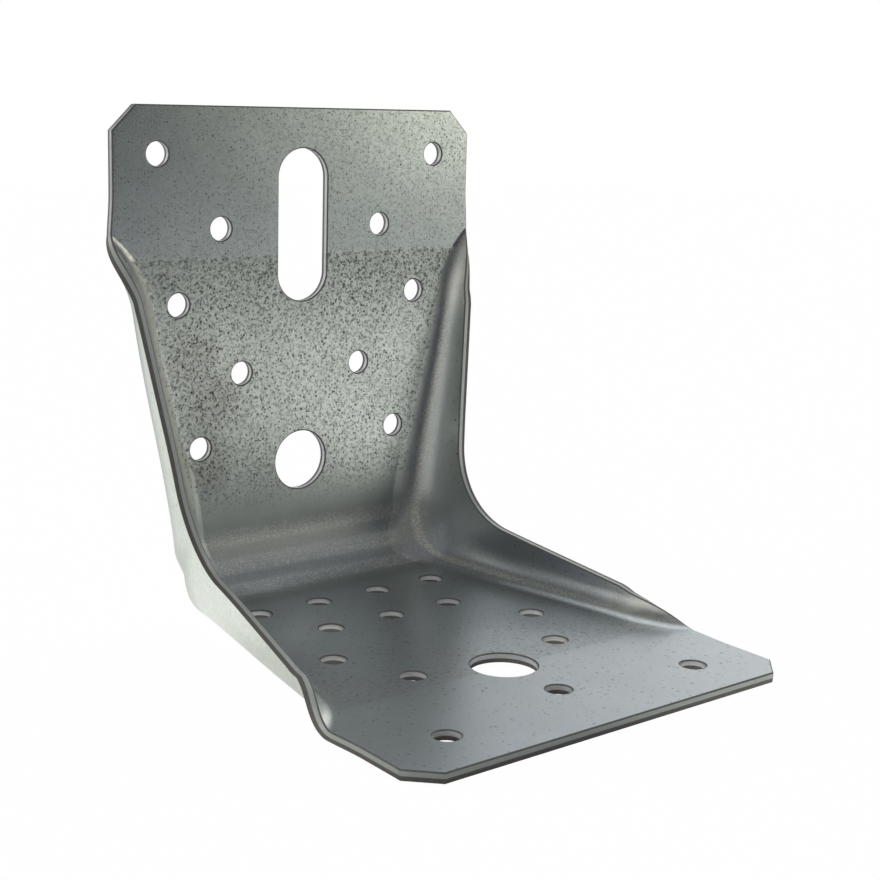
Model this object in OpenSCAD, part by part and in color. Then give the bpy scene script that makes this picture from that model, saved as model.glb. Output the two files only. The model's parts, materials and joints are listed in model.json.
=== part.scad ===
// Reinforced angle bracket, pressed from one piece of galvanised sheet. An upright leg and a base leg meet
// in a rounded heel, and a flange is turned in along both sides of both legs. Lengths are in millimetres.
// The base leg lies on z = 0, the upright leg stands on the +y side, and the part is the same on both sides
// of x = 0.

/* [Sheet] */
// Sheet thickness
sheet = 2; // [1.5:0.1:2.5]
// Height of the upright leg, over all
upright_height = 105; // [100:1:120]
// Depth of the base leg, over all
base_depth = 105; // [102:1:120]
// Width of both legs
leg_width = 90; // [86:1:96]
// Corner clipped off at the leg ends
corner_clip = 5.2; // [3:0.2:6]
// Inner radius of the heel bend between the legs
heel_radius = 12; // [9:0.5:14]

/* [Flanges] */
// Inner radius of the flange fold on the outer part of both legs
fold_radius = 5; // [4:0.25:6]
// Inner radius of the upright leg's fold where it comes to the heel
upright_fold = 8.5; // [6:0.25:8.5]
// Inner radius of the base leg's fold where it comes to the heel
base_fold = 6; // [5:0.25:8]
// Inner radius of the fold in the middle of the heel
heel_fold = 10.5; // [8:0.25:11]
// Distance from the inner corner at which the fold's radius begins to grow
fold_grows_from = 58; // [50:1:60]
// Distance from the inner corner at which the fold has its radius by the heel
fold_grows_to = 16; // [14:1:24]
// Half of the clear width that the fold lines would leave at the inner corner
corner_half_width = 31; // [30:0.5:32]
// Growth of the clear half width for each millimetre away from the inner corner
fold_slope = 0.163; // [0.14:0.005:0.19]
// Distance over which the two flange walls blend around the inner corner
wall_blend = 28; // [22:1:32]
// Sheet length that a fold takes up beyond its inner arc, for each radian
fold_allowance = 0.6; // [0.4:0.1:0.9]
// Radius of the flange's free edge in the corner
edge_radius = 20; // [14:1:22]
// Plain end of the upright leg, up to where the fold line leaves its straight run
upright_plain_end = 41; // [38:0.5:44]
// Plain end of the base leg, up to where the fold line leaves its straight run
base_plain_end = 39.5; // [38:0.5:44]
// Radius in which the fold line runs out to the side of the sheet
runout_radius = 20; // [18:1:26]
// How far the press draws the side of the sheet out along the run-out
drawn_out = 0.6; // [0.2:0.1:1]
// Length over which the side of the sheet is drawn out
drawn_length = 24; // [20:1:28]

/* [Holes] */
// Diameter of the nail holes
nail_hole = 5; // [4:0.1:5.5]
// Diameter of the bolt holes
bolt_hole = 13; // [11:0.5:13]
// Width of the slot
slot_width = 12.4; // [11:0.1:13]
// Length of the slot, over its round ends
slot_length = 32.8; // [28:0.2:33]
// Slot centre, from the top edge
slot_from_top = 25; // [24.6:0.2:26]
// Bolt hole of the upright leg, from the underside
upright_bolt_height = 28.2; // [26:0.2:29]
// Bolt hole of the base leg, from its front edge
base_bolt_from_front = 32.4; // [31:0.2:33]
// Distance from one row of nail holes to the next
row_pitch = 15.45; // [15:0.05:15.6]
// First nail row of the upright leg, from the top edge
upright_first_row = 9.8; // [9:0.1:11]
// First nail row of the base leg, from the back
base_first_row = 21.2; // [21:0.1:22]
// Half spacing of the upright leg's first nail row, at the top
upright_spread_1 = 35; // [34:0.1:36]
// Half spacing of the upright leg's second nail row
upright_spread_2 = 20.3; // [19:0.1:22]
// Half spacing of the upright leg's third nail row
upright_spread_3 = 30.3; // [28:0.1:30.5]
// Half spacing of the upright leg's fourth nail row
upright_spread_4 = 15.2; // [14:0.1:17]
// Half spacing of the upright leg's fifth nail row
upright_spread_5 = 25.2; // [23:0.1:26]
// Half spacing of the outer nail holes in the base leg's first row, at the heel
base_spread_1_outer = 22.4; // [20:0.1:23]
// Half spacing of the inner nail holes in the base leg's first row
base_spread_1_inner = 7.6; // [6:0.1:9]
// Half spacing of the base leg's second nail row, which has a third hole in the middle
base_spread_2 = 15.1; // [12:0.1:18]
// Half spacing of the base leg's third nail row
base_spread_3 = 25.1; // [22:0.1:27]
// Half spacing of the base leg's fourth nail row
base_spread_4 = 17.8; // [16:0.1:20]
// Half spacing of the base leg's front nail row
base_spread_front = 30.2; // [28:0.1:33]
// Single nail hole of the base leg, from its front edge
base_single_from_front = 16.9; // [16:0.1:18]
// Front nail row of the base leg, from its front edge
base_front_row = 11.8; // [11:0.1:13]

/* [Hidden] */
// Facets of a drilled hole
$fn = 64;
UPRIGHT = 0;
BASE = 1;
inner_height = upright_height - sheet;
inner_depth = base_depth - sheet;
half_width = leg_width / 2;
back_face = base_depth / 2;
// Sheet that a quarter-turn fold takes up
quarter_take = (fold_radius + fold_allowance) * PI / 2;
// Free edge: on each leg a slanting line, u = edge_base - fold_slope * a, and a rounded corner between them
edge_base = half_width - corner_half_width + 2 * fold_radius - quarter_take;
edge_run = norm([1, fold_slope]);
edge_lean = atan(fold_slope);
edge_centre = (edge_base + edge_radius * edge_run) / (1 + fold_slope);
edge_from = edge_centre - edge_radius * fold_slope / edge_run;
// Path of the fold's upper end from the start of the rounded free edge to the middle of the heel
corner_path = edge_from - heel_radius + (heel_radius - fold_radius) * PI / 4;
// Grid of the sheet: columns from the plate to a flange's free edge, and rows along a leg
columns = 9;
arc_columns = 6;
side_strip = 5.5;
plate_columns_from = half_width - side_strip;
drawn_rows = 3;
runout_rows = 12;
wall_rows = 8;
corner_rows = 5;
heel_rows = 6;
// Shares of the run-out arc's radius: what is ever used, and what the rows of the run-out reach
runout_share = 0.98;
runout_reach = 0.9;
sheet_colour = "#8d9496";

// Along a leg, a is the distance from the inner corner; u is the distance from the leg's inner face
function leg_inner(leg) = leg == UPRIGHT ? inner_height : inner_depth;
function runout_start(leg) = leg_inner(leg) - (leg == UPRIGHT ? upright_plain_end : base_plain_end);
function runout_travel(leg, a) = min(max(0, a - runout_start(leg)), runout_share * runout_radius);
function runout_left(leg, a) = sqrt(pow(runout_radius, 2) - pow(runout_travel(leg, a), 2));
function runout(leg, a) = runout_radius - runout_left(leg, a);
function runout_slope(leg, a) = runout_travel(leg, a) / runout_left(leg, a);

// Larger of the two distances, blended where the legs meet, and its slopes
function blend_left(u, v) = max(0, wall_blend - abs(u - v));
function blended(u, v) = max(u, v) + pow(blend_left(u, v), 2) / (4 * wall_blend);
function blended_slope(u, v) =
    let (share = blend_left(u, v) / (2 * wall_blend))
    u > v ? [1 - share, share] : [share, 1 - share];

// Half of the clear width between the flange walls, and its slopes
function clear_half(leg, u, v) = corner_half_width + fold_slope * blended(u, v) + runout(leg, max(u, v));
function clear_slope(leg, u, v) =
    fold_slope * blended_slope(u, v) + runout_slope(leg, max(u, v)) * (u > v ? [1, 0] : [0, 1]);

// Half width of the unrolled sheet, which is drawn out in a hump along the run-out
function drawn_place(leg, a) = min(1, max(0, (a - runout_start(leg)) / drawn_length));
function half_sheet(leg, a) = half_width + drawn_out * pow(sin(180 * drawn_place(leg, a)), 2);

// Half width of the flat sheet, with its clipped corner
function side(leg, a) = half_sheet(leg, a) - max(0, corner_clip - (leg_inner(leg) - a));

// Height of the flange's free edge over the leg's inner face
function edge_height(leg, a) =
    edge_base - fold_slope * a - runout(leg, a) + half_sheet(leg, a) - half_width;

// Inner radius of the fold at a row: it grows along the leg towards the heel, and again around the heel
function smooth(share) = let (s = min(1, max(0, share))) s * s * (3 - 2 * s);
function corner_fold(leg) = leg == UPRIGHT ? upright_fold : base_fold;
function row_fold(row) =
    let (grown = smooth((fold_grows_from - row[1]) / (fold_grows_from - fold_grows_to)))
    let (leg_fold = fold_radius + (corner_fold(row[0]) - fold_radius) * grown)
    leg_fold + (heel_fold - corner_fold(row[0])) * smooth(row[2] / 45);

// Angle that the sheet beyond the fold line is folded by
function fold_angle(beyond, radius) = min(90, max(0, beyond) / (radius + fold_allowance) * 180 / PI);

// A row is [leg, a, heel angle, share of the rounded free edge]
function leg_row(leg, a) = [leg, a, 0, max(0, edge_from - a) / corner_path];
function heel_row(leg, angle) =
    let (path = edge_from - heel_radius + (heel_radius - fold_radius) * angle * PI / 180)
    [leg, 0, angle, path / corner_path];
function steps(from, to, count) = [for (i = [1:count]) from + (to - from) * i / count];
function half_rows(leg) =
    let (start = runout_start(leg))
    let (arc_end = start + runout_reach * runout_radius, drawn_end = start + drawn_length)
    concat(
        [for (a = [leg_inner(leg), leg_inner(leg) - corner_clip, drawn_end]) leg_row(leg, a)],
        [for (a = steps(drawn_end, arc_end, drawn_rows)) leg_row(leg, a)],
        [for (a = steps(arc_end, start, runout_rows)) leg_row(leg, a)],
        [for (a = steps(start, edge_from, wall_rows)) leg_row(leg, a)],
        [for (a = steps(edge_from, heel_radius, corner_rows)) leg_row(leg, a)],
        [for (angle = steps(0, 45, heel_rows)) heel_row(leg, angle)]
    );
base_half = half_rows(BASE);
rows = concat(half_rows(UPRIGHT), [for (i = [len(base_half) - 2:-1:0]) base_half[i]]);

// Point of the leg profile and its inward direction, both as [u, along the leg]
function profile_point(row) =
    row[2] > 0 ? heel_radius * [1 - cos(row[2]), 1 - sin(row[2])] : [0, row[1]];
function profile_inward(row) = [cos(row[2]), sin(row[2])];
function corner_edge(row) =
    let (angle = edge_lean + row[3] * (45 - edge_lean))
    [edge_centre, edge_centre] - edge_radius * [cos(angle), sin(angle)];

// Point of the sheet for a row and a share of the way from the plate to the free edge, as
// [x, u, along the leg]; depth is 0 on the inner face and the sheet thickness on the outer one
function sheet_point(row, share, depth) =
    let (leg = row[0], a = row[1], foot = profile_point(row), inward = profile_inward(row))
    let (in_corner = a < edge_from, radius = row_fold(row))
    let (fold_line = clear_half(leg, foot[0], foot[1]) - radius)
    let (from = min(fold_line, plate_columns_from * min(1, side(leg, a) / half_width)))
    let (flat = max(0, min(fold_line, side(leg, a)) - from))
    let (arc = radius * (in_corner ? 90 : fold_angle(half_sheet(leg, a) - fold_line, radius)) * PI / 180)
    let (top = foot + radius * inward)
    let (straight = in_corner ? norm(corner_edge(row) - top) : max(0, edge_height(leg, a) - radius))
    let (turn_share = max(arc_columns / columns, (flat + arc) / (flat + arc + straight)))
    let (travel = (flat + arc) * min(1, share / turn_share))
    let (angle = max(0, travel - flat) / radius * 180 / PI)
    let (rise = share > turn_share ? (share - turn_share) / (1 - turn_share) : 0)
    let (edge = in_corner ? corner_edge(row) : top + straight * inward)
    let (uv = rise > 0 ? top + rise * (edge - top) : foot + radius * (1 - cos(angle)) * inward)
    let (x = angle > 0 ? clear_half(leg, uv[0], uv[1]) - radius * (1 - sin(angle)) : from + travel)
    let (lean = -sin(angle) * clear_slope(leg, uv[0], uv[1]) - cos(angle) * inward)
    let (outward = angle > 0 ? [sin(angle), lean[0], lean[1]] : [0, -inward[0], -inward[1]])
    [x, uv[0], uv[1]] + depth * outward / norm(outward);

// The same point in the part's frame, on the side +1 or -1
function placed(row, share, side_sign, depth) =
    let (p = sheet_point(row, share, depth))
    let (u = row[0] == UPRIGHT ? p[1] : p[2], v = row[0] == UPRIGHT ? p[2] : p[1])
    [side_sign * p[0], back_face - sheet - u, sheet + v];

// Points run across the sheet from the left free edge to the right one, row by row, inner face first
function across(row, depth) = concat(
    [for (i = [columns:-1:0]) placed(row, i / columns, -1, depth)],
    [for (i = [0:columns]) placed(row, i / columns, 1, depth)]
);
row_size = 2 * columns + 2;
layer_size = row_size * len(rows);
function at(layer, i, j) = layer * layer_size + i * row_size + j;

module folded_sheet() {
    last_row = len(rows) - 1;
    last_column = row_size - 1;
    cells = [for (i = [0:last_row - 1], j = [0:last_column - 1]) [i, j]];
    inner_face = [for (c = cells, half = [0, 1]) half == 0
        ? [at(0, c[0], c[1]), at(0, c[0], c[1] + 1), at(0, c[0] + 1, c[1] + 1)]
        : [at(0, c[0], c[1]), at(0, c[0] + 1, c[1] + 1), at(0, c[0] + 1, c[1])]];
    outer_face = [for (c = cells, half = [0, 1]) half == 0
        ? [at(1, c[0], c[1]), at(1, c[0] + 1, c[1] + 1), at(1, c[0], c[1] + 1)]
        : [at(1, c[0], c[1]), at(1, c[0] + 1, c[1]), at(1, c[0] + 1, c[1] + 1)]];
    side_edges = [for (i = [0:last_row - 1], half = [0:3]) [
        [at(0, i, 0), at(0, i + 1, 0), at(1, i + 1, 0)],
        [at(0, i, 0), at(1, i + 1, 0), at(1, i, 0)],
        [at(0, i, last_column), at(1, i + 1, last_column), at(0, i + 1, last_column)],
        [at(0, i, last_column), at(1, i, last_column), at(1, i + 1, last_column)]
    ][half]];
    end_edges = [for (j = [0:last_column - 1], half = [0:3]) [
        [at(0, 0, j), at(1, 0, j + 1), at(0, 0, j + 1)],
        [at(0, 0, j), at(1, 0, j), at(1, 0, j + 1)],
        [at(0, last_row, j), at(0, last_row, j + 1), at(1, last_row, j + 1)],
        [at(0, last_row, j), at(1, last_row, j + 1), at(1, last_row, j)]
    ][half]];
    polyhedron(
        points = concat([for (r = rows) each across(r, 0)], [for (r = rows) each across(r, sheet)]),
        faces = concat(inner_face, outer_face, side_edges, end_edges)
    );
}

// Drill through the upright leg at a height, and through the base leg at a depth from the back
module upright_drill(x, height, diameter) {
    translate([x, back_face - sheet / 2, height])
        rotate([90, 0, 0])
            cylinder(d = diameter, h = 3 * sheet, center = true);
}

module base_drill(x, depth, diameter) {
    translate([x, back_face - depth, sheet / 2])
        cylinder(d = diameter, h = 3 * sheet, center = true);
}

module slot_cut() {
    reach = (slot_length - slot_width) / 2;
    height = upright_height - slot_from_top;
    for (end = [-1, 1])
        upright_drill(0, height + end * reach, slot_width);
    translate([0, back_face - sheet / 2, height])
        cube([slot_width, 3 * sheet, 2 * reach], center = true);
}

module upright_holes() {
    spreads = [upright_spread_1, upright_spread_2, upright_spread_3, upright_spread_4, upright_spread_5];
    for (i = [0:len(spreads) - 1], side_sign = [-1, 1])
        upright_drill(side_sign * spreads[i], upright_height - upright_first_row - i * row_pitch, nail_hole);
    upright_drill(0, upright_bolt_height, bolt_hole);
    slot_cut();
}

module base_holes() {
    spreads = [base_spread_1_outer, base_spread_1_inner, base_spread_2, base_spread_3, base_spread_4];
    row_of = [0, 0, 1, 2, 3];
    for (i = [0:len(spreads) - 1], side_sign = [-1, 1])
        base_drill(side_sign * spreads[i], base_first_row + row_of[i] * row_pitch, nail_hole);
    for (side_sign = [-1, 1])
        base_drill(side_sign * base_spread_front, base_depth - base_front_row, nail_hole);
    base_drill(0, base_first_row + row_pitch, nail_hole);
    base_drill(0, base_depth - base_single_from_front, nail_hole);
    base_drill(0, base_depth - base_bolt_from_front, bolt_hole);
}

module bracket() {
    color(sheet_colour)
        difference() {
            folded_sheet();
            upright_holes();
            base_holes();
        }
}

bracket();
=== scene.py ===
"""Looks of a reinforced angle bracket: one pressed sheet of galvanised steel, its camera, light and floor.

The sheet's inner face is worked out as arrays of points in millimetres. On each leg, x runs across the leg,
u is the distance from the leg's inner face and a is the distance along the leg from the inner corner.
"""

import json

import bpy
import numpy as np
from mathutils import Matrix, Vector
from mathutils.geometry import delaunay_2d_cdt


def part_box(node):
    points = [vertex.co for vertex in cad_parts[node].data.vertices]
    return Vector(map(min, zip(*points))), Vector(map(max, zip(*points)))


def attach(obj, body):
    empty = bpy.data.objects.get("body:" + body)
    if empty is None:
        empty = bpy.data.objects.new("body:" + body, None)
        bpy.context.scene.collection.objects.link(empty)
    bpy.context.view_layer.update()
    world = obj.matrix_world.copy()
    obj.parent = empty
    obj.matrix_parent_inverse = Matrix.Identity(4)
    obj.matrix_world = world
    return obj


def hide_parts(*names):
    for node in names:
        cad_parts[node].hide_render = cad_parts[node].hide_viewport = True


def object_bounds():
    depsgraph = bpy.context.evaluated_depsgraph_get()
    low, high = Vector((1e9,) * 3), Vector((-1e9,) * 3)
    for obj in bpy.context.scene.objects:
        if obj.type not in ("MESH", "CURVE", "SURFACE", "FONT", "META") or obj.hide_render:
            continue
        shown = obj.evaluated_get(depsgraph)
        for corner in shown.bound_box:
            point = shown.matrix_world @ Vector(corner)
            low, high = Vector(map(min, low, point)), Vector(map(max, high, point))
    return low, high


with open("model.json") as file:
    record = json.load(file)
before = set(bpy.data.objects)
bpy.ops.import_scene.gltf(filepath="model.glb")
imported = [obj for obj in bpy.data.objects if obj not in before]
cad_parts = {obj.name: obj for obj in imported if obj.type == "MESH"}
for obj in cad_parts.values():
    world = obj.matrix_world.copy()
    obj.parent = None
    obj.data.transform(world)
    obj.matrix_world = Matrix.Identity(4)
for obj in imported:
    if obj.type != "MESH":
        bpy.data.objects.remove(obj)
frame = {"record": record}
cad_low, cad_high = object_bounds()

MM = 0.001

# Overall sizes, from the frame
sheet_low, sheet_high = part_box("bracket")
BACK = sheet_high.y / MM
DEPTH = (sheet_high.y - sheet_low.y) / MM
HEIGHT = sheet_high.z / MM

# Sheet and folds
SHEET = 2.0
HALF_WIDTH = 45.0
CORNER_CLIP = 5.2
HEEL_RADIUS = 12.0
FOLD_RADIUS = 5.0
CORNER_HALF_WIDTH = 31.0
FOLD_SLOPE = 0.163
WALL_BLEND = 28.0
FOLD_ALLOWANCE = 0.6
EDGE_RADIUS = 20.0
UPRIGHT_PLAIN_END = 41.0
BASE_PLAIN_END = 39.5
RUNOUT_RADIUS = 20.0
RUNOUT_SHARE = 0.98
# The fold's radius grows from one place along the leg to another, and again around the heel
UPRIGHT_FOLD = 8.5
BASE_FOLD = 6.0
HEEL_FOLD = 10.5
FOLD_GROWS = (58.0, 16.0)
# The press draws the side of the sheet out a little along the run-out
DRAWN_OUT = 0.6
DRAWN_LENGTH = 24.0
# The press set the flanges a little to the right of the middle
OFF_CENTRE = 0.5
# Rounds of easing of the folds in the inner corner
EASE_ROUNDS = 16

# Rows of points in each stretch along a leg and around half the heel, and the run-out's fine length
LEG_ROWS = (4, 14, 54, 26, 18)
HEEL_ROWS = 18
RUNOUT_FINE = 18.0
# Columns across the flat, points around a hole, and the pitch of the loose net of points between the holes
PLATE_COLUMNS = 24
NAIL_RING = 56
BOLT_RING = 96
BOLT_RADIUS_FROM = 4.0
NET_PITCH = 4.0

# Slot of the upright leg
SLOT_WIDTH = 12.4
SLOT_LENGTH = 32.8
SLOT_FROM_TOP = 25.0

# Cut edge: how far the punch draws the inner face down, and where the clean shear ends and the break begins
ROLL_IN = 0.32
ROLL_DOWN = 0.26
SHEAR_END = 0.95
BREAK_BACK = 0.10
FOOT_CUT = 0.06

# Tints of the zinc and of the bare steel; BRIGHT also tints painted highlights
ZINC = (0.945, 1.0, 0.93)
BROWNED = (0.98, 0.99, 0.87)
RUSTED = (1.0, 0.93, 0.84)
BRIGHT = (1.0, 0.99, 0.90)
BLUED = (0.93, 0.98, 1.02)

# The pressed zone's end, as the distances along the leg in mm where it is gone and where it is full
PRESS_LINE = (72.4, 71.4)
# Marks on the upright leg: x, z and radius in mm
RUBBED_MARKS = ((-23, 44, 9), (-27, 53, 8), (-24, 31, 8))
SMUDGE_MARKS = ((-21.5, 43, 5), (-25, 36.5, 4.5), (-22, 26.5, 5))
# Painted reflections: light bands across the heel, with painted shade between them,
# by the distance from the base less that from the upright, in mm
HEEL_PAINTED_BANDS = ((9.0, 13.0), (0.5, 5.5), (-8.0, -3.0))

# Soft lights of the room and lit parts of the paper: azimuth from +Y towards +X, elevation and half spread
# in degrees, colour
ROOM = (0.01, 0.01, 0.03)
SOFT_LIGHTS = {
    "backdrop_right": (60, -2, 34, (1.68, 1.73, 1.66)),
    "backdrop_left": (325, 12, 48, (1.12, 1.16, 1.12)),
    "panel_right": (128, 4, 22, (1.30, 1.26, 1.08)),
    "panel_right_side": (134, -2, 18, (0.68, 0.72, 0.66)),
    "panel_right_top": (120, 26, 34, (0.30, 0.32, 0.37)),
    "panel_left": (255, 12, 42, (0.73, 0.74, 0.72)),
    "panel_top_rear": (45, 54, 36, (1.00, 1.06, 1.04)),
    "panel_top_front": (180, 60, 55, (0.22, 0.22, 0.20)),
}
NEAR_PAPER = {
    "right": (115, 0, 75, (1.04, 1.06, 1.01)),
    "rear": (0, 0, 75, (0.48, 0.49, 0.49)),
    "left": (285, 0, 75, (0.75, 0.75, 0.70)),
}
FAR_PAPER = {
    "right": (115, 0, 75, (0.30, 0.33, 0.36)),
    "left": (285, 0, 75, (0.95, 0.95, 0.95)),
}
# White background behind the part: azimuth, elevation, and the angles in degrees where it is gone and full
BACKGROUND = (39, 0, 22, 12)
# Paper under the part, in metres: half its side, its gap to the part, where the near tone is gone and full
PAPER_REACH = 1.5
PAPER_GAP = 0.0002
PAPER_NEAR = (0.6, 0.2)
# Share of the paper's own white, the rest shows the shadow
PAPER_SHARE = 0.97

# Free edge of the flanges: its line along the leg, the arc that rounds it in the corner, the strip's start
QUARTER_TAKE = (FOLD_RADIUS + FOLD_ALLOWANCE) * np.pi / 2
EDGE_BASE = HALF_WIDTH - CORNER_HALF_WIDTH + 2 * FOLD_RADIUS - QUARTER_TAKE
EDGE_RUN = np.hypot(1, FOLD_SLOPE)
EDGE_LEAN = np.arctan(FOLD_SLOPE)
EDGE_CENTRE = (EDGE_BASE + EDGE_RADIUS * EDGE_RUN) / (1 + FOLD_SLOPE)
EDGE_FROM = EDGE_CENTRE - EDGE_RADIUS * FOLD_SLOPE / EDGE_RUN
CORNER_PATH = EDGE_FROM - HEEL_RADIUS + (HEEL_RADIUS - FOLD_RADIUS) * np.pi / 4
SIDE_STRIP = HALF_WIDTH - 5.5


def smooth(share):
    """Smooth step from 0 to 1."""
    share = np.clip(share, 0, 1)
    return share**2 * (3 - 2 * share)


def eased(values, share):
    """Columns drawn to their neighbours' mean, value += share * (mean - value) / 2, EASE_ROUNDS times."""
    values = values.copy()
    for _ in range(EASE_ROUNDS):
        mean = (values[:, :-2] + values[:, 2:]) / 2
        values[:, 1:-1] += share * (mean - values[:, 1:-1]) / 2
    return values


class Leg:
    """Formulas of one side of a leg, whose inner length is the leg's size less the sheet."""

    def __init__(self, upright, shift):
        self.length = (HEIGHT if upright else DEPTH) - SHEET
        self.corner_fold = UPRIGHT_FOLD if upright else BASE_FOLD
        self.runout_from = self.length - (UPRIGHT_PLAIN_END if upright else BASE_PLAIN_END)
        self.corner_half = CORNER_HALF_WIDTH + shift

    def runout_travel(self, a):
        """Distance past the start of the run-out, as far as the arc is used."""
        return np.clip(a - self.runout_from, 0, RUNOUT_SHARE * RUNOUT_RADIUS)

    def runout(self, a):
        """Sideways shift of the fold line: the rise of a circle's arc over its tangent."""
        return RUNOUT_RADIUS - np.sqrt(RUNOUT_RADIUS**2 - self.runout_travel(a) ** 2)

    def runout_slope(self, a):
        """Slope of that arc: travel over what is left of the radius."""
        travel = self.runout_travel(a)
        return travel / np.sqrt(RUNOUT_RADIUS**2 - travel**2)

    def clear_half(self, u, a):
        """Half width between the flange walls: grows with the larger of u and a, blended where close."""
        blend = np.maximum(0, WALL_BLEND - np.abs(u - a))
        blended = np.maximum(u, a) + blend**2 / (4 * WALL_BLEND)
        return self.corner_half + FOLD_SLOPE * blended + self.runout(np.maximum(u, a))

    def clear_slope(self, u, a):
        """Slopes of clear_half along u and along a."""
        share = np.maximum(0, WALL_BLEND - np.abs(u - a)) / (2 * WALL_BLEND)
        runout = self.runout_slope(np.maximum(u, a))
        along_u = FOLD_SLOPE * np.where(u > a, 1 - share, share) + np.where(u > a, runout, 0)
        along_a = FOLD_SLOPE * np.where(u > a, share, 1 - share) + np.where(u > a, 0, runout)
        return along_u, along_a

    def half_sheet(self, a):
        """Half width of the sheet when unrolled: a sine hump stands on the plain width along the run-out."""
        hump = np.sin(np.pi * np.clip((a - self.runout_from) / DRAWN_LENGTH, 0, 1)) ** 2
        return HALF_WIDTH + DRAWN_OUT * hump

    def side(self, a):
        """Half width of the flat sheet inside its rounded edge, with the clipped corner."""
        clip_line = HALF_WIDTH + self.length - CORNER_CLIP - np.sqrt(2) * ROLL_IN
        return np.minimum(self.half_sheet(a) - ROLL_IN, clip_line - a)

    def rows(self):
        """Places along the leg from its end to the heel, then heel angles up to the middle of the heel."""
        clip_foot = self.length - CORNER_CLIP - (np.sqrt(2) - 1) * ROLL_IN
        run = self.runout_from
        stops = [self.length - ROLL_IN, clip_foot, run + RUNOUT_FINE, run, EDGE_FROM, HEEL_RADIUS]
        runs = [np.linspace(p, q, n, endpoint=False) for p, q, n in zip(stops, stops[1:], LEG_ROWS)]
        places = np.append(np.concatenate(runs), HEEL_RADIUS)
        angles = np.radians(np.linspace(0, 45, HEEL_ROWS + 1))[1:]
        place = np.append(places, np.zeros(angles.size))
        angle = np.append(np.zeros(places.size), angles)
        return place, angle

    def side_strip(self):
        """Flat margin, fold and flange wall of the right side, as rows along the leg and columns across.

        Each row unrolls into a flat stretch, an arc of the fold radius and a straight wall. Columns are set
        out along that length, less the rounded edge. In the corner the wall is ruled to a rounded free edge,
        and the columns are eased.
        """
        place, angle = self.rows()
        in_heel = angle > 0
        foot_u = np.where(in_heel, HEEL_RADIUS * (1 - np.cos(angle)), 0)
        foot_a = np.where(in_heel, HEEL_RADIUS * (1 - np.sin(angle)), place)
        inward_u = np.cos(angle)
        inward_a = np.sin(angle)
        in_corner = place < EDGE_FROM
        grown = smooth((FOLD_GROWS[0] - place) / (FOLD_GROWS[0] - FOLD_GROWS[1]))
        radius = FOLD_RADIUS + (self.corner_fold - FOLD_RADIUS) * grown
        radius += (HEEL_FOLD - self.corner_fold) * smooth(angle / (np.pi / 4))
        fold_line = self.clear_half(foot_u, foot_a) - radius
        side = self.side(place)
        start = np.minimum(fold_line, SIDE_STRIP * np.minimum(1, side / (HALF_WIDTH - ROLL_IN)))
        beyond = np.maximum(0, self.half_sheet(place) - fold_line)
        turn = np.minimum(np.pi / 2, beyond / (radius + FOLD_ALLOWANCE))
        turn = np.where(in_corner, np.pi / 2, turn)
        flat = np.maximum(0, np.minimum(fold_line, self.half_sheet(place)) - start)
        arc = radius * turn
        top_u = foot_u + radius * inward_u
        top_a = foot_a + radius * inward_a
        heel_path = EDGE_FROM - HEEL_RADIUS + (HEEL_RADIUS - FOLD_RADIUS) * angle
        path = np.where(in_heel, heel_path, EDGE_FROM - place)
        edge_angle = EDGE_LEAN + np.clip(path / CORNER_PATH, 0, 1) * (np.pi / 4 - EDGE_LEAN)
        edge_line = EDGE_BASE - FOLD_SLOPE * place - self.runout(place) + self.half_sheet(place) - HALF_WIDTH
        round_u = EDGE_CENTRE - EDGE_RADIUS * np.cos(edge_angle)
        round_a = EDGE_CENTRE - EDGE_RADIUS * np.sin(edge_angle)
        edge_u = np.where(in_corner, round_u, np.maximum(top_u, edge_line))
        edge_a = np.where(in_corner, round_a, top_a)
        wall = np.hypot(edge_u - top_u, edge_a - top_a)

        flat_columns, arc_columns, wall_columns = 4, 16, 8
        radius, flat, arc, wall, turn = (v[:, None] for v in (radius, flat, arc, wall, turn))
        steps = np.concatenate([
            flat * np.linspace(0, 1, flat_columns + 1),
            flat + arc * np.linspace(0, 1, arc_columns + 1)[1:],
            flat + arc + wall * np.linspace(0, 1, wall_columns + 1)[1:],
        ], axis=1)
        last = np.minimum(flat + arc + wall - ROLL_IN, np.where(turn > 0, np.inf, (side - start)[:, None]))
        steps = np.minimum(steps, last)
        phi = np.clip((steps - flat) / radius, 0, turn)
        rise = np.clip((steps - flat - arc) / np.maximum(wall, 1e-9), 0, 1)
        bow = radius * (1 - np.cos(phi))
        u = foot_u[:, None] + bow * inward_u[:, None] + rise * (edge_u - top_u)[:, None]
        a = foot_a[:, None] + bow * inward_a[:, None] + rise * (edge_a - top_a)[:, None]
        x = np.where(phi > 0, self.clear_half(u, a) - radius * (1 - np.sin(phi)), start[:, None] + steps)
        slope_u, slope_a = self.clear_slope(u, a)
        out = np.stack([
            np.sin(phi),
            -np.sin(phi) * slope_u - np.cos(phi) * inward_u[:, None],
            -np.sin(phi) * slope_a - np.cos(phi) * inward_a[:, None],
        ], axis=-1)
        out /= np.linalg.norm(out, axis=-1, keepdims=True)
        turned = phi / (np.pi / 2) + rise
        corner = smooth((EDGE_FROM - place) / (EDGE_FROM - HEEL_RADIUS))[:, None, None]
        points = eased(np.stack([x, u, a], axis=-1), corner)
        out = eased(out, corner)
        return points, out / np.linalg.norm(out, axis=-1, keepdims=True), turned


def grid_triangles(rows, columns):
    """Two triangles for each cell of a grid of points."""
    i, j = np.meshgrid(np.arange(rows - 1), np.arange(columns - 1), indexing="ij")
    p = (i * columns + j).ravel()
    near = np.stack([p, p + 1, p + columns + 1], axis=1)
    far = np.stack([p, p + columns + 1, p + columns], axis=1)
    return np.concatenate([near, far])


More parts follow.
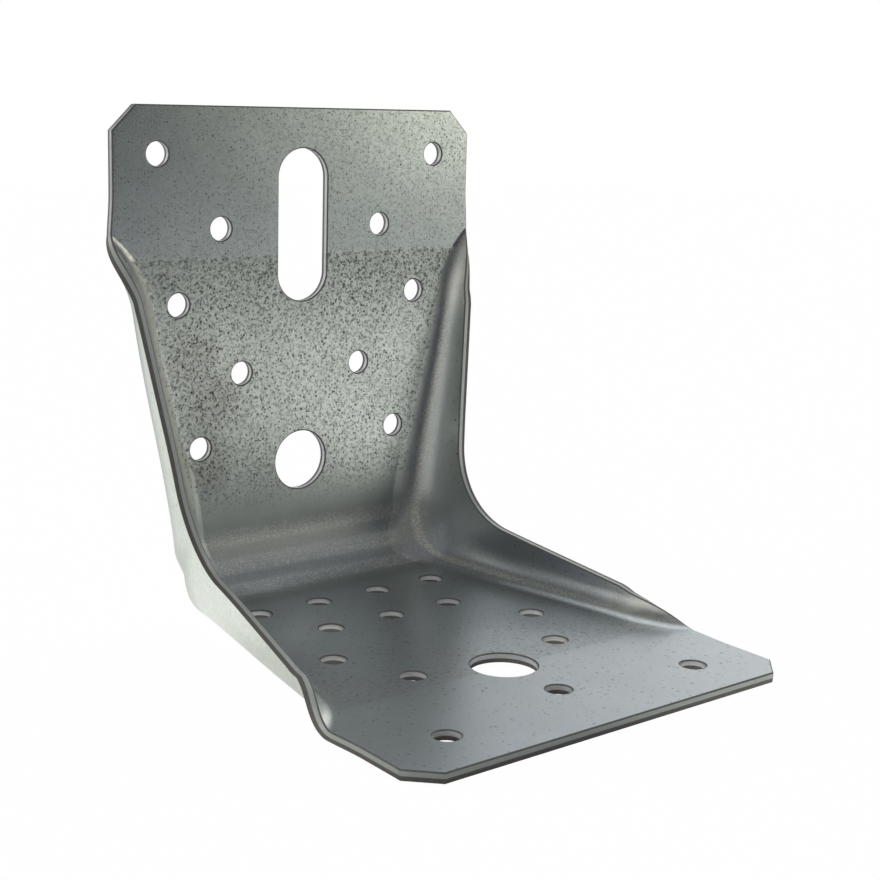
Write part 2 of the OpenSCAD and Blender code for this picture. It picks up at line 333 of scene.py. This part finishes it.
def round_ring(centre, radius, reach=0.0):
    """Closed outline of a round hole, or of a slot whose ends lie reach from its centre along the leg."""
    count = BOLT_RING if radius > BOLT_RADIUS_FROM else NAIL_RING
    angle = np.arange(count) * 2 * np.pi / count
    shift = np.where(np.sin(angle) >= 0, reach, -reach)
    return np.stack([centre[0] + radius * np.cos(angle), centre[1] + shift + radius * np.sin(angle)], axis=1)


def plate(holes, left, right, across):
    """Flat middle of a leg: triangles between the side strips, the end and the heel, with the holes open."""
    flat_rows = right[:, 0, 1] == 0
    right_edge = right[flat_rows, 0][:, [0, 2]]
    left_edge = left[flat_rows, 0][:, [0, 2]]

    def end_row(i):
        return left_edge[i] * (1 - across[:, None]) + right_edge[i] * across[:, None]

    outline = np.concatenate([
        end_row(0)[:-1], right_edge[:-1], end_row(-1)[::-1][:-1], left_edge[::-1][:-1],
    ])
    rings = [round_ring(c, r + ROLL_IN, reach) for c, r, reach in holes]
    net = np.mgrid[-9:10, 3:27].reshape(2, -1).T * NET_PITCH

    def inside(points, margin, hole_margin):
        """Which points are margin away from the outline and hole_margin away from every hole's rim."""
        places = points[:, 1]
        clear = points[:, 0] > np.interp(places, left_edge[::-1, 1], left_edge[::-1, 0]) + margin
        clear &= points[:, 0] < np.interp(places, right_edge[::-1, 1], right_edge[::-1, 0]) - margin
        clear &= (places > HEEL_RADIUS + margin) & (places < right_edge[0, 1] - margin)
        for centre, radius, reach in holes:
            along = np.abs(places - centre[1])
            gap = np.hypot(points[:, 0] - centre[0], np.maximum(0, along - reach))
            clear &= gap > radius + ROLL_IN + hole_margin
        return clear

    loops = [outline] + rings
    ends = np.cumsum([0] + [len(loop) for loop in loops])
    spans = [np.arange(p, q) for p, q in zip(ends, ends[1:])]
    chains = [np.stack([span, np.roll(span, -1)], axis=1) for span in spans]
    points = np.concatenate(loops + [net[inside(net, 1.5, 1.0)]])
    result = delaunay_2d_cdt([Vector(p) for p in points], np.concatenate(chains).tolist(), [], 0, 1e-7)
    source = np.array([ids[0] for ids in result[3]])
    triangles = source[np.array(result[2])]
    spread = np.zeros((len(points), 3))
    spread[:, [0, 2]] = points
    return spread, triangles[inside(points[triangles].mean(axis=1), 1e-3, -0.01)]


def leg_face(upright):
    """Inner face of a leg and its half of the heel: two side strips, the flat plate and the heel's arc."""
    right, right_out, turned = Leg(upright, OFF_CENTRE).side_strip()
    left, left_out, left_turned = Leg(upright, -OFF_CENTRE).side_strip()
    flip = np.array([-1.0, 1.0, 1.0])
    left, left_out = left * flip, left_out * flip
    across = np.linspace(0, 1, PLATE_COLUMNS + 1)
    first_heel = np.flatnonzero(right[:, 0, 1] == 0)[-1]
    heel = left[first_heel:, :1] * (1 - across[:, None]) + right[first_heel:, :1] * across[:, None]
    heel_out = np.repeat(right_out[first_heel:, :1], across.size, axis=1)
    flat, flat_triangles = plate(hole_list(upright), left, right, across)
    cells = grid_triangles(*right.shape[:2])
    heel_cells = grid_triangles(*heel.shape[:2])
    return joined([
        (right.reshape(-1, 3), right_out.reshape(-1, 3), turned.ravel(), cells),
        (left.reshape(-1, 3), left_out.reshape(-1, 3), left_turned.ravel(), cells),
        (heel.reshape(-1, 3), heel_out.reshape(-1, 3), np.zeros(heel[..., 0].size), heel_cells),
        (flat, np.tile([0.0, -1.0, 0.0], (len(flat), 1)), np.zeros(len(flat)), flat_triangles),
    ])


def joined(parts):
    """One set of points, normals, turn values and triangles out of several."""
    starts = np.cumsum([0] + [len(p[0]) for p in parts])
    return (
        np.concatenate([p[0] for p in parts]),
        np.concatenate([p[1] for p in parts]),
        np.concatenate([p[2] for p in parts]),
        np.concatenate([p[3] + s for p, s in zip(parts, starts)]),
    )


def welded(points, out, turned, triangles):
    """The face with points in one place merged, empty triangles dropped and all turned away from out."""
    _, first, index = np.unique(np.round(points, 5), axis=0, return_index=True, return_inverse=True)
    triangles = index.ravel()[triangles]
    whole = (triangles != np.roll(triangles, 1, axis=1)).all(axis=1)
    triangles = triangles[whole]
    points, out, turned = points[first], out[first], turned[first]
    corners = points[triangles]
    normal = np.cross(corners[:, 1] - corners[:, 0], corners[:, 2] - corners[:, 0])
    wrong = np.einsum("ij,ij->i", normal, out[triangles].sum(axis=1)) > 0
    triangles[wrong] = triangles[wrong][:, ::-1]
    return points, out, turned, triangles


def cut_profile():
    """Section of a cut edge as [past the rim, depth]: rounded roll-over, clean shear, slanted break."""
    turn = np.radians(np.linspace(0, 90, 7))
    roll = np.stack([ROLL_IN * np.sin(turn), ROLL_DOWN * (1 - np.cos(turn))], axis=1)
    shear = np.array([[ROLL_IN, 0.6], [ROLL_IN, SHEAR_END]])
    broken = np.array([
        [ROLL_IN - 0.035, SHEAR_END + 0.1],
        [ROLL_IN - 0.06, 1.5],
        [ROLL_IN - BREAK_BACK, SHEET - FOOT_CUT],
    ])
    foot = np.array([[ROLL_IN - BREAK_BACK - FOOT_CUT, SHEET], [0, SHEET]])
    return np.concatenate([roll, shear, broken, foot])


def area_normals(points, triangles):
    """Unit normal of each point: the sum of its triangles' area vectors, so flats look flat to the rim."""
    first, second, third = (points[triangles[:, k]] for k in range(3))
    area = np.cross(second - first, third - first)
    total = np.stack([
        np.bincount(triangles.ravel(), np.repeat(area[:, axis], 3), len(points)) for axis in range(3)
    ], axis=1)
    return total / np.linalg.norm(total, axis=1, keepdims=True)


def thickened(points, out, turned, triangles):
    """Closed sheet: the inner face, the outer face one sheet further out, and the cut edge round each rim.

    The rims are the directed edges that only one triangle has. At each rim point the edge section is set out
    along the mitred outward direction in the face and along the sheet's own normal.
    """
    edges = np.concatenate([triangles[:, [0, 1]], triangles[:, [1, 2]], triangles[:, [2, 0]]])
    count = len(points)
    single = ~np.isin(edges[:, 0] * count + edges[:, 1], edges[:, 1] * count + edges[:, 0])
    rim = edges[single]
    after = np.full(count, -1)
    before = np.full(count, -1)
    after[rim[:, 0]] = rim[:, 1]
    before[rim[:, 1]] = rim[:, 0]
    ring = rim[:, 0]

    def outward(start, end):
        along = points[end] - points[start]
        sideways = np.cross(out[ring], along)
        return sideways / np.linalg.norm(sideways, axis=1, keepdims=True)

    one, two = outward(before[ring], ring), outward(ring, after[ring])
    mitre = (one + two) / (1 + np.einsum("ij,ij->i", one, two))[:, None]
    section = cut_profile()
    layers = [points[ring] + e * mitre + d * out[ring] for e, d in section[1:-1]]
    slot_of = np.full(count, -1)
    slot_of[ring] = np.arange(len(ring))
    size = len(ring)
    offset = 2 * count
    columns = [ring] + [offset + k * size + np.arange(size) for k in range(len(layers))] + [count + ring]
    nexts = slot_of[after[ring]]
    quads = [np.stack([c[nexts], c, d, d[nexts]], axis=1) for c, d in zip(columns, columns[1:])]
    everything = np.concatenate([points, points + SHEET * out] + layers)
    downs = [np.full(size, d / SHEET) for e, d in section[1:-1]]
    depth = np.concatenate([np.zeros(2 * count)] + downs)
    cut = np.concatenate([np.zeros(2 * count), np.ones(size * len(layers))])
    outside = np.concatenate([np.zeros(count), np.ones(count)] + downs)
    fold = np.concatenate([turned, turned] + [turned[ring]] * len(layers))
    sides = np.concatenate([triangles, triangles[:, ::-1] + count])
    quads = np.concatenate(quads)
    normals = area_normals(everything, np.concatenate([sides, quads[:, [0, 1, 2]], quads[:, [0, 2, 3]]]))
    faces = sides.tolist() + quads.tolist()
    return everything, faces, normals, {"cut": cut, "depth": depth, "outside": outside, "fold": fold}


def hole_list(upright):
    """Holes of one leg as (centre, radius, reach), from the record's mounts: bores and nail pairs."""
    holes = []
    for mount in frame["record"]["mounts"]:
        along_y = abs(mount["axis"][1]) > 0.5
        if mount["kind"] == "flat_face" or along_y != upright:
            continue
        x, y, z = (v / MM for v in mount["pos_m"])
        place = z - SHEET if upright else BACK - SHEET - y
        dims = mount["dims"]
        if mount["kind"] == "bore":
            holes.append(((x, place), dims["r_mm"], 0.0))
            continue
        half_x = dims.get("spacing_x_mm", 0) / 2
        half_y = dims.get("spacing_y_mm", 0) / 2
        holes += [((x + s * half_x, place + s * half_y), dims["hole_r_mm"], 0.0) for s in (-1, 1)]
    if upright:
        reach = (SLOT_LENGTH - SLOT_WIDTH) / 2
        holes.append(((0.0, HEIGHT - SHEET - SLOT_FROM_TOP), SLOT_WIDTH / 2, reach))
    return holes


def make_bracket():
    """The whole sheet as one piece."""
    upright = leg_face(True)
    base = leg_face(False)

    def placed(values, up):
        order = [0, 1, 2] if up else [0, 2, 1]
        return values[:, order] * [1, -1, 1]

    move = np.array([0.0, BACK - SHEET, SHEET])
    parts = [
        (placed(upright[0], True) + move, placed(upright[1], True), upright[2], upright[3]),
        (placed(base[0], False) + move, placed(base[1], False), base[2], base[3]),
    ]
    points, faces, normals, values = thickened(*welded(*joined(parts)))
    mesh = bpy.data.meshes.new("bracket_sheet")
    mesh.from_pydata((points * MM).tolist(), [], faces)
    for name, value in values.items():
        mesh.attributes.new(name, "FLOAT", "POINT").data.foreach_set("value", value.astype(np.float32))
    mesh.polygons.foreach_set("use_smooth", np.ones(len(mesh.polygons), bool))
    mesh.update()
    mesh.normals_split_custom_set_from_vertices(normals.tolist())
    bracket = bpy.data.objects.new("bracket_sheet", mesh)
    bpy.context.scene.collection.objects.link(bracket)
    return bracket


def make_camera():
    """Camera of the photograph, solved from hole centres and edges, in millimetres of the part's frame."""
    focal_px, image_px, sensor_mm = 1588.6, 880, 36.0
    centre_px = (448.5, 387.4)
    place = Vector((-189.87, -237.19, 107.49)) * MM
    azimuth, pitch, roll = np.radians((38.797, -10.270, 1.572))
    data = bpy.data.cameras.new("camera")
    data.sensor_width = sensor_mm
    data.lens = focal_px / image_px * sensor_mm
    data.shift_x = (image_px / 2 - centre_px[0]) / image_px
    data.shift_y = (centre_px[1] - image_px / 2) / image_px
    data.clip_start = 0.01
    camera = bpy.data.objects.new("camera", data)
    aim = Matrix.Rotation(-azimuth, 4, "Z") @ Matrix.Rotation(np.pi / 2 + pitch, 4, "X")
    camera.matrix_world = Matrix.Translation(place) @ aim @ Matrix.Rotation(roll, 4, "Z")
    bpy.context.scene.collection.objects.link(camera)
    bpy.context.scene.camera = camera


class Value:
    """A shader socket that takes part in Python arithmetic: each operator adds one Math node."""

    def __init__(self, tree, socket=None):
        self.tree = tree
        self.socket = socket

    def node(self, kind, settings=None, inputs=None, output=0):
        """Adds a node, sets its settings and its sockets' values or links, and gives one of its outputs."""
        made = self.tree.nodes.new(kind)
        for name, value in (settings or {}).items():
            setattr(made, name, value)
        for name, value in (inputs or {}).items():
            if isinstance(value, Value):
                self.tree.links.new(value.socket, made.inputs[name])
            else:
                made.inputs[name].default_value = value
        return Value(self.tree, made.outputs[output] if made.outputs else None)

    def other(self, output):
        """Another output of the node that gave this value."""
        return Value(self.tree, self.socket.node.outputs[output])

    def math(self, operation, first, second=0.0):
        return self.node("ShaderNodeMath", {"operation": operation}, {0: first, 1: second})

    def __add__(self, other):
        return self.math("ADD", self, other)

    __radd__ = __add__

    def __mul__(self, other):
        return self.math("MULTIPLY", self, other)

    __rmul__ = __mul__

    def __sub__(self, other):
        return self.math("SUBTRACT", self, other)

    def __rsub__(self, other):
        return self.math("SUBTRACT", other, self)

    def least(self, other):
        return self.math("MINIMUM", self, other)

    def most(self, other):
        return self.math("MAXIMUM", self, other)

    def size(self):
        return self.math("ABSOLUTE", self)

    def step(self, low, high):
        """Smooth step: 0 at low and 1 at high, or the other way round where high is the smaller."""
        settings = {"interpolation_type": "SMOOTHSTEP"}
        ends = (low, high, 0.0, 1.0) if high > low else (high, low, 1.0, 0.0)
        inputs = dict(zip(("From Min", "From Max", "To Min", "To Max"), ends))
        return self.node("ShaderNodeMapRange", settings, {"Value": self, **inputs})

    def blend(self, colour, other):
        """Colour mix by this value."""
        return self.node("ShaderNodeMix", {"data_type": "RGBA"}, {0: self, 6: colour, 7: other}, 2)

    def tones(self, low, high, tint):
        """A colour between two greys of one tint, by this value."""
        return self.blend(grey(low, tint), grey(high, tint))


def grey(value, tint=(1.0, 1.0, 1.0)):
    """A grey of a tint, with full alpha."""
    return tuple(value * t for t in tint) + (1.0,)


def empty_tree(owner):
    """The cleared node tree of a material or a world, ready for its nodes."""
    owner.use_nodes = True
    owner.node_tree.nodes.clear()
    return Value(owner.node_tree)


def grain(root, place, size_mm, detail=2.0, roughness=0.5):
    """Noise between 0 and 1 with features of about size_mm."""
    scale = [1 / MM / size_mm] * 3
    scaled = root.node("ShaderNodeVectorMath", {"operation": "MULTIPLY"}, {0: place, 1: scale})
    inputs = {"Vector": scaled, "Scale": 1.0, "Detail": detail, "Roughness": roughness}
    return root.node("ShaderNodeTexNoise", {}, inputs)


def spots(root, place, size_mm):
    """Ragged spots in cells of about size_mm: 1 in a spot's middle, and the cell's chance from 0 to 1.

    The place is shifted by a noise before it is cut into cells, and each cell has a spot of its own width.
    """
    noise = {"Vector": place, "Scale": 1.8 / MM / size_mm, "Detail": 1.0}
    wobble = root.node("ShaderNodeTexNoise", {}, noise, "Color")
    shift = [0.9 * size_mm * MM] * 3
    moved = root.node("ShaderNodeVectorMath", {"operation": "MULTIPLY_ADD"}, {0: wobble, 1: shift, 2: place})
    distance = root.node("ShaderNodeTexVoronoi", {}, {"Vector": moved, "Scale": 1 / MM / size_mm})
    chance = root.node("ShaderNodeSeparateXYZ", inputs={0: distance.other("Color")})
    width = chance.other(1)
    return (distance + width * 0.25).step(0.58, 0.26), chance


def make_galvanised():
    """Galvanised steel: zinc with specks, press marks, grainy bends, rubbed fold ends and bare cut edges.

    up and out are the distances in mm from the two inner faces, and along is the larger of them. fold is 0
    on the flat, 1 where a full fold ends and 2 at the rim. Every mask is a smooth step on these, on a noise
    or on the sheet's other values, and the colours are laid over each other as coats, each by its mask.
    Some coats are painted light: light bands and shade across the heel, a highlight along the folds' crest,
    a highlight with the wear at the fold ends, and outer faces painted lighter than the inner ones.
    """
    material = bpy.data.materials.new("galvanised_sheet")
    root = empty_tree(material)
    place = root.node("ShaderNodeTexCoord", output="Object")
    split = root.node("ShaderNodeSeparateXYZ", inputs={0: place})
    x, y, z = (split.other(i) * (1 / MM) for i in range(3))
    cut, depth, outside, fold = (
        root.node("ShaderNodeAttribute", {"attribute_name": name}, output="Fac")
        for name in ("cut", "depth", "outside", "fold")
    )
    up = z - SHEET
    out = (BACK - SHEET) - y
    along = up.most(out)
    turn = up - out
    upright = turn.step(-3, 3)
    inside = outside.step(0.9, 0.1)

    def marks(places):
        """Soft round marks on the upright leg, the strongest of them at each point."""
        strongest = upright * 0
        for middle_x, middle_z, radius in places:
            dx, dz = x - middle_x, z - middle_z
            strongest = strongest.most((dx * dx + dz * dz).step(radius * radius, 0) * upright)
        return strongest

    fine = grain(root, place, 0.42)
    coarse = grain(root, place, 11.0, 3.0)
    broad = grain(root, place, 4.0)
    mottle = grain(root, place, 0.95, 3.0, 0.65)
    crumbs = grain(root, place, 0.35, 3.0)
    spot_mask, chance = spots(root, place, 0.74)
    patchy = (coarse * 0.6 + broad * 0.4).step(0.3, 0.7)

    # Zones of the sheet
    heel = along.step(17, 10)
    arc = fold.step(0.03, 0.25) * fold.step(1.1, 0.9)
    flat = 1 - fold.step(0.02, 0.3)
    pressed = along.step(*PRESS_LINE)
    pressed_upright = upright * pressed
    under_line = pressed_upright * flat * along.step(50, 71) * (x.step(-25, 18) * 0.4 + 0.6)
    base_rough = (1 - upright) * pressed * along.step(40, 70) * flat
    rubbed = marks(RUBBED_MARKS)
    smudge = (marks(SMUDGE_MARKS) + broad - 0.75).step(0, 0.6)
    # Painted light: bright bands across the heel stand in for reflections, with painted shade between them
    painted_bands = heel * 0
    for low, high in HEEL_PAINTED_BANDS:
        painted_bands = painted_bands.most(turn.step(low - 1, low + 1) * turn.step(high + 1, high - 1))
    painted_bands = painted_bands * heel * flat

    # Dark specks, and a finer pepper between them
    crowd = upright * flat * (0.40 + pressed * 0.15 + under_line * 0.35 + rubbed * 0.2) + base_rough * 0.25
    crowd = crowd + 0.20 + patchy * 0.15 - upright * 0.05
    speck = (crowd - chance).step(0, 0.2) * spot_mask * along.step(13, 24)
    speck = speck * (1 - arc * 0.7) * (0.4 + inside * 0.6)
    thick = 0.17 + under_line * 0.45 + rubbed * 0.15
    amount = 0.06 + base_rough * 0.25 + upright * (0.24 + pressed * thick)
    pepper = (fine * 0.4 + mottle * 0.6).step(0.44, 0.66) * inside * flat * along.step(13, 26) * amount
    dull = (speck * (0.6 + pressed_upright * 0.25) + pepper * 1.05).least(1.0)

    # Folds: bright grains, a dull left fold, a painted crest highlight, and worn run-outs with a painted
    # highlight
    # Bright grains on the bends, and painted glints in the heel's painted light bands
    grains_and_band_glints = (arc * 0.45).most(heel * 0.25).most(painted_bands * 0.9) * (fine * 0.7 + mottle * 0.3).step(0.47, 0.62)
    dull_fold = x.step(-24, -30) * upright * fold.step(0.02, 0.12) * fold.step(0.9, 0.5) * inside
    # Painted highlight: a bright line along the middle of each fold
    crest_highlight = fold.step(0.33, 0.43) * fold.step(0.57, 0.46) * (1 - dull_fold)
    crest_highlight = crest_highlight * (0.25 + fine.step(0.40, 0.60) * 0.75)
    scuffed = (broad + fine * 0.5).step(0.5, 0.85) * 0.6 + 0.4
    # Wear on the fold run-outs, partly a painted highlight where the fold ends
    wear_and_highlight = along.step(52, 64) * along.step(84, 74) * fold.step(0.15, 0.5) * scuffed

    coats = (
        (upright, patchy.tones(0.60, 0.67, ZINC)),
        (pressed_upright * flat * along.step(12, 34) * along.step(76, 50), patchy.tones(0.72, 0.82, ZINC)),
        ((under_line * 0.26 + smudge * 0.22 + base_rough * 0.15).least(0.6), grey(0.30, ZINC)),
        (rubbed * 0.6, grey(0.58, BROWNED)),
        # Painted shade on the heel between the painted light bands
        (heel * flat * (1 - painted_bands) * 0.45, grey(0.36, ZINC)),
        # Bright grains, with painted glints in the heel's light bands
        (grains_and_band_glints, grey(0.88, BRIGHT)),
        (fold.step(0.5, 0.75) * inside * (0.25 + upright * 0.35), grey(0.47, BLUED)),
        (dull_fold * 0.75, grey(0.30, BROWNED)),
        # Painted highlight along the folds' crest
        (crest_highlight, grey(0.93, BRIGHT)),
        # Wear and a painted highlight on the fold run-outs
        (wear_and_highlight * inside * 0.9, grey(0.92, BRIGHT)),
        # Painted light: the outer faces are painted lighter than the inner ones, as if lit
        (1 - inside, mottle.step(0.35, 0.65).tones(0.76, 0.83, ZINC)),
        (dull, grey(0.13, BROWNED)),
    )
    zinc = patchy.tones(0.58, 0.62, BLUED)
    for mask, coat in coats:
        zinc = mask.blend(zinc, coat)

    # Cut edges: a clean shear, and below it the rough break
    bare = cut.step(0.3, 0.9)
    outer = along.step(100, 101).most(x.size().step(38.5, 39.5)).most(fold.step(0.05, 0.3))
    shear = depth.step(0.09, 0.16) * depth.step(0.60, 0.52)
    edge = shear.blend(crumbs.tones(0.13, 0.32, RUSTED), outer.blend(grey(0.95), grey(0.70, ZINC)))
    rough_edge = bare * (1 - shear)

    roughness = 0.27 - upright * 0.07 + pressed_upright * 0.16 + arc * 0.03 + fine * 0.04 + dull * 0.12
    roughness = roughness + heel * (0.10 + fold.step(0.05, 0.5) * 0.25) + rough_edge * 0.3
    metallic = 1 - dull * 0.6 - wear_and_highlight * 0.2 - crest_highlight * 0.15 - grains_and_band_glints * painted_bands * 0.35
    metallic = (metallic - rough_edge * 0.75 - bare * shear * 0.8).most(0.0)
    height = fine * (0.25 + heel.most(arc) * 1.5) + dull * -0.3 + broad * 0.8
    bump = root.node("ShaderNodeBump", {}, {"Strength": 0.35, "Distance": 0.03 * MM, "Height": height})
    surface = root.node("ShaderNodeBsdfPrincipled", {}, {
        "Base Color": bare.blend(zinc, edge), "Metallic": metallic, "Roughness": roughness, "Normal": bump,
    })
    root.node("ShaderNodeOutputMaterial", {}, {"Surface": surface})
    return material


def light_paths(root):
    """The camera, glossy and transmission flags of the ray that is being shaded."""
    path = root.node("ShaderNodeLightPath")
    return [path.other("Is %s Ray" % kind) for kind in ("Camera", "Glossy", "Transmission")]


def cosine(degrees):
    return float(np.cos(np.radians(degrees)))


def facing(root, direction, azimuth, elevation):
    """Cosine of the angle from an azimuth (+Y towards +X) and elevation, in degrees, to a direction."""
    az, el = np.radians((azimuth, elevation))
    aim = [float(v) for v in (np.cos(el) * np.sin(az), np.cos(el) * np.cos(az), np.sin(el))]
    return root.node("ShaderNodeVectorMath", {"operation": "DOT_PRODUCT"}, {0: direction, 1: aim}, 1)


def soft_sum(root, direction, lights):
    """The dim room plus every light's colour times its smooth step on the angle from the light's middle."""
    total = ROOM
    for azimuth, elevation, spread, colour in lights.values():
        glow = facing(root, direction, azimuth, elevation).step(cosine(spread), 0.999)
        terms = {0: glow, 1: colour, 2: total}
        total = root.node("ShaderNodeVectorMath", {"operation": "MULTIPLY_ADD"}, terms)
    return total


def make_light():
    """Studio: a dim room with large soft lights, white to the camera, and in reflections behind the part.

    Each soft light is a smooth step on the angle from its middle, so it has no hard edge in the metal.
    """
    world = bpy.data.worlds.new("studio")
    root = empty_tree(world)
    direction = root.node("ShaderNodeTexCoord", output="Object")
    camera, glossy, through = light_paths(root)
    azimuth, elevation, *edges = BACKGROUND
    behind = facing(root, direction, azimuth, elevation).step(*(cosine(edge) for edge in edges))
    total = soft_sum(root, direction, SOFT_LIGHTS)
    room = root.node("ShaderNodeBackground", {}, {"Color": total, "Strength": 1.0})
    white = root.node("ShaderNodeBackground", {}, {"Color": grey(1.0), "Strength": 1.0})
    shown = camera.most(glossy.most(through) * behind)
    both = root.node("ShaderNodeMixShader", {}, {0: shown, 1: room, 2: white})
    root.node("ShaderNodeOutputWorld", {}, {"Surface": both})
    bpy.context.scene.world = world


def make_floor():
    """White paper under the part, with a faint shadow; in reflections pale, and dim on the camera's side."""
    corners = np.array([[-1, -1], [1, -1], [1, 1], [-1, 1]]) * PAPER_REACH
    mesh = bpy.data.meshes.new("floor")
    mesh.from_pydata([(cx, cy, cad_low.z - PAPER_GAP) for cx, cy in corners], [], [(0, 1, 2, 3)])
    floor = bpy.data.objects.new("floor", mesh)
    bpy.context.scene.collection.objects.link(floor)
    material = bpy.data.materials.new("paper")
    root = empty_tree(material)
    camera, glossy, through = light_paths(root)
    place = root.node("ShaderNodeTexCoord", output="Object")
    heading = root.node("ShaderNodeVectorMath", {"operation": "NORMALIZE"}, {0: place})
    away = root.node("ShaderNodeVectorMath", {"operation": "LENGTH"}, {0: place}, 1)
    near = away.step(*PAPER_NEAR)
    lit = near.blend(soft_sum(root, heading, FAR_PAPER), soft_sum(root, heading, NEAR_PAPER))
    paper = root.node("ShaderNodeBsdfDiffuse", {}, {"Color": grey(0.8)})
    white = root.node("ShaderNodeEmission", {}, {"Color": camera.blend(lit, grey(1.015)), "Strength": 1.0})
    shown = camera.most(glossy).most(through) * PAPER_SHARE
    both = root.node("ShaderNodeMixShader", {}, {0: shown, 1: paper, 2: white})
    root.node("ShaderNodeOutputMaterial", {}, {"Surface": both})
    mesh.materials.append(material)


bpy.context.scene.view_settings.view_transform = "Standard"
make_camera()
make_light()
make_floor()
bracket = make_bracket()
bracket.data.materials.append(make_galvanised())
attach(bracket, "root")
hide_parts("bracket")
